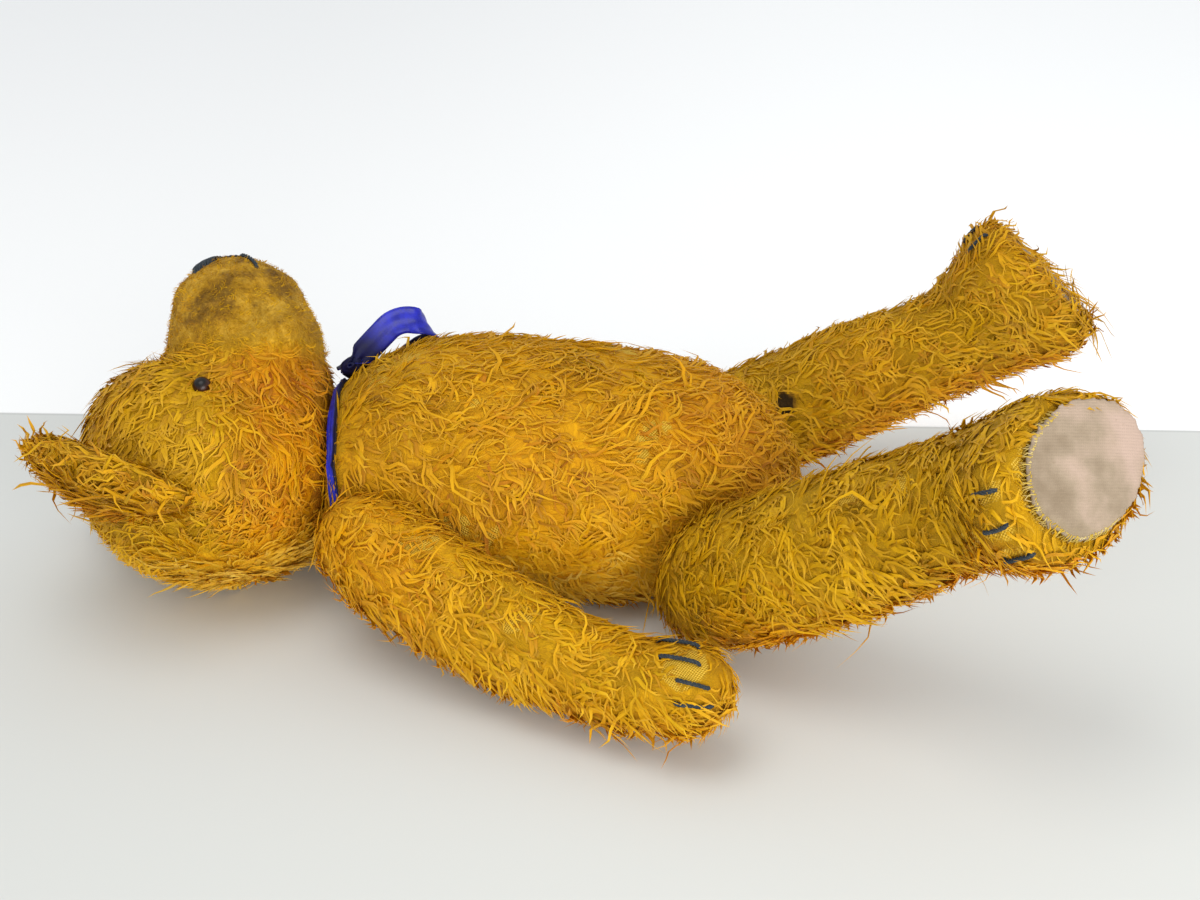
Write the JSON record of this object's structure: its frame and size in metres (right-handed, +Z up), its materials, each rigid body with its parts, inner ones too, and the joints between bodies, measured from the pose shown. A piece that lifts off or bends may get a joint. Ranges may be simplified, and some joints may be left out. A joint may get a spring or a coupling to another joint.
{
  "type": "jointed teddy bear",
  "caption": "Worn mohair teddy bear lying on its back, head turned aside, with disc-jointed head, arms and legs and a satin ribbon at the neck.",
  "frame": {"origin": "middle of the flat patch of the back that the bear lies on", "axes": "+Z up, out of the bear's front; +X from the head to the feet; -Y to the bear's right"},
  "size_m": [0.4749, 0.3256, 0.1535],
  "materials": {
    "gold_mohair": "worn long pile",
    "wood_wool": "matt",
    "hardboard": "matt",
    "steel": "dull",
    "black_thread": "matt",
    "pad_cloth": "worn weave",
    "blue_satin": "satin",
    "black_glass": "gloss"
  },
  "bodies": {
    "torso": {"body_cover": "gold_mohair", "body_stuffing": "wood_wool", "left_hip_disc_body": "hardboard", "left_hip_washer_body": "steel", "left_shoulder_disc_body": "hardboard", "left_shoulder_washer_body": "steel", "neck_disc_body": "hardboard", "neck_ribbon": "blue_satin", "neck_washer_body": "steel", "right_hip_disc_body": "hardboard", "right_hip_washer_body": "steel", "right_shoulder_disc_body": "hardboard", "right_shoulder_washer_body": "steel"},
    "head": {"head_cover": "gold_mohair", "head_stuffing": "wood_wool", "left_ear": "gold_mohair", "left_eye": "black_glass", "neck_disc_limb": "hardboard", "neck_pin": "steel", "neck_washer_limb": "steel", "nose_and_mouth": "black_thread", "right_ear": "gold_mohair", "right_eye": "black_glass"},
    "right_arm": {"right_arm_cover": "gold_mohair", "right_arm_stuffing": "wood_wool", "right_paw_claws": "black_thread", "right_shoulder_disc_limb": "hardboard", "right_shoulder_pin": "steel", "right_shoulder_washer_limb": "steel"},
    "left_arm": {"left_arm_cover": "gold_mohair", "left_arm_stuffing": "wood_wool", "left_paw_claws": "black_thread", "left_shoulder_disc_limb": "hardboard", "left_shoulder_pin": "steel", "left_shoulder_washer_limb": "steel"},
    "right_leg": {"right_foot_claws": "black_thread", "right_foot_pad": "pad_cloth", "right_hip_disc_limb": "hardboard", "right_hip_pin": "steel", "right_hip_washer_limb": "steel", "right_leg_cover": "gold_mohair", "right_leg_stuffing": "wood_wool"},
    "left_leg": {"left_foot_claws": "black_thread", "left_foot_pad": "pad_cloth", "left_hip_disc_limb": "hardboard", "left_hip_pin": "steel", "left_hip_washer_limb": "steel", "left_leg_cover": "gold_mohair", "left_leg_stuffing": "wood_wool"}
  },
  "joints": [
    {"name": "neck", "type": "hinge", "parent": "torso", "child": "head", "pos_m": [-0.101, 0, 0.052], "axis": [1, 0, 0], "continuous": true},
    {"name": "right_shoulder", "type": "hinge", "parent": "torso", "child": "right_arm", "pos_m": [-0.07, -0.048, 0.048], "axis": [-0.342, -0.9397, 0], "range_deg": [-90, 120]},
    {"name": "left_shoulder", "type": "hinge", "parent": "torso", "child": "left_arm", "pos_m": [-0.07, 0.048, 0.048], "axis": [0.342, -0.9397, 0], "range_deg": [-90, 120]},
    {"name": "right_hip", "type": "hinge", "parent": "torso", "child": "right_leg", "pos_m": [0.067, -0.047, 0.034], "axis": [0, -1, 0], "range_deg": [-90, 48]},
    {"name": "left_hip", "type": "hinge", "parent": "torso", "child": "left_leg", "pos_m": [0.069, 0.046, 0.0335], "axis": [0, -1, 0], "range_deg": [-90, 65]}
  ]
}
